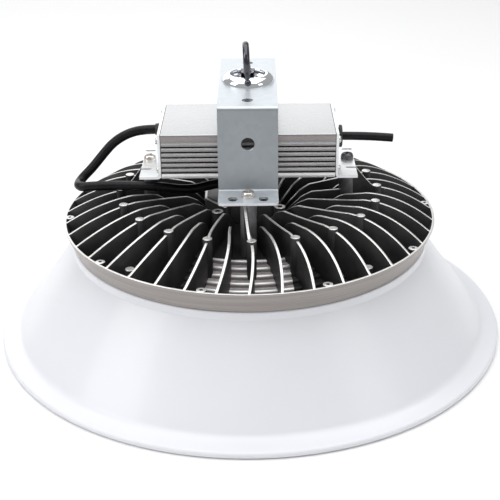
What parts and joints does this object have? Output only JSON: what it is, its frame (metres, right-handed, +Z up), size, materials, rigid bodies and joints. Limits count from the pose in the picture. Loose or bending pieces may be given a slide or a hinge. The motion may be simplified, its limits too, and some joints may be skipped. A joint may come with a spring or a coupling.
{
  "type": "high bay light",
  "caption": "Suspended high bay light: finned black heat sink over a flared white shade, boxed driver between the legs of a folded hanging bracket with a hook.",
  "frame": {"origin": "middle of the shade's rim, on the plane that the rim rests on", "axes": "+Z up along the lamp's axis, +X towards the supply cable, -Y towards the viewer and the hook's tip"},
  "size_m": [0.41, 0.41, 0.2385],
  "materials": {
    "shade_white": "glossy white powder coat",
    "sink_black": "satin black coat on die-cast aluminium, bright machined edges",
    "bezel_black": "satin black coat",
    "board_white": "white solder mask",
    "chip_yellow": "phosphor under clear silicone",
    "lens_clear": "clear moulded cover",
    "seal_rubber": "silicone",
    "screw_steel": "nickel plated",
    "screw_dark": "dark nickel plated",
    "bracket_zinc": "galvanised",
    "hook_chrome": "polished chrome",
    "case_aluminium": "brushed, clear anodised",
    "plate_aluminium": "mill finish",
    "potting_grey": "cast compound",
    "board_green": "green solder mask",
    "coil_tape": "yellow tape",
    "gland_black": "moulded nylon",
    "cable_black": "satin black jacket"
  },
  "bodies": {
    "root": {"shade": "shade_white", "heat_sink": "sink_black", "bezel_ring": "bezel_black", "led_board": "board_white", "led_chips": "chip_yellow", "lens_cover": "lens_clear", "lens_gasket": "seal_rubber", "clamp_screws": "screw_steel", "led_board_screws": "screw_steel", "hanging_bracket": "bracket_zinc", "hook_cup": "hook_chrome", "hook_bolt": "hook_chrome", "hook_washer_upper": "screw_steel", "hook_washer_lower": "screw_steel", "hook_nut_upper": "screw_steel", "hook_nut_lower": "screw_steel", "driver_case": "case_aluminium", "end_gasket_right": "seal_rubber", "end_gasket_left": "seal_rubber", "end_plate_right": "plate_aluminium", "end_plate_left": "plate_aluminium", "end_plate_screws_right": "screw_steel", "end_plate_screws_left": "screw_steel", "bracket_screw_front": "screw_steel", "bracket_screw_rear": "screw_steel", "ear_screw_right": "screw_dark", "ear_screw_left": "screw_steel", "driver_potting": "potting_grey", "driver_board": "board_green", "driver_transformer": "coil_tape", "supply_gland": "gland_black", "output_gland": "gland_black", "sink_gland": "gland_black", "supply_cable": "cable_black", "output_cable": "cable_black"}
  },
  "joints": []
}
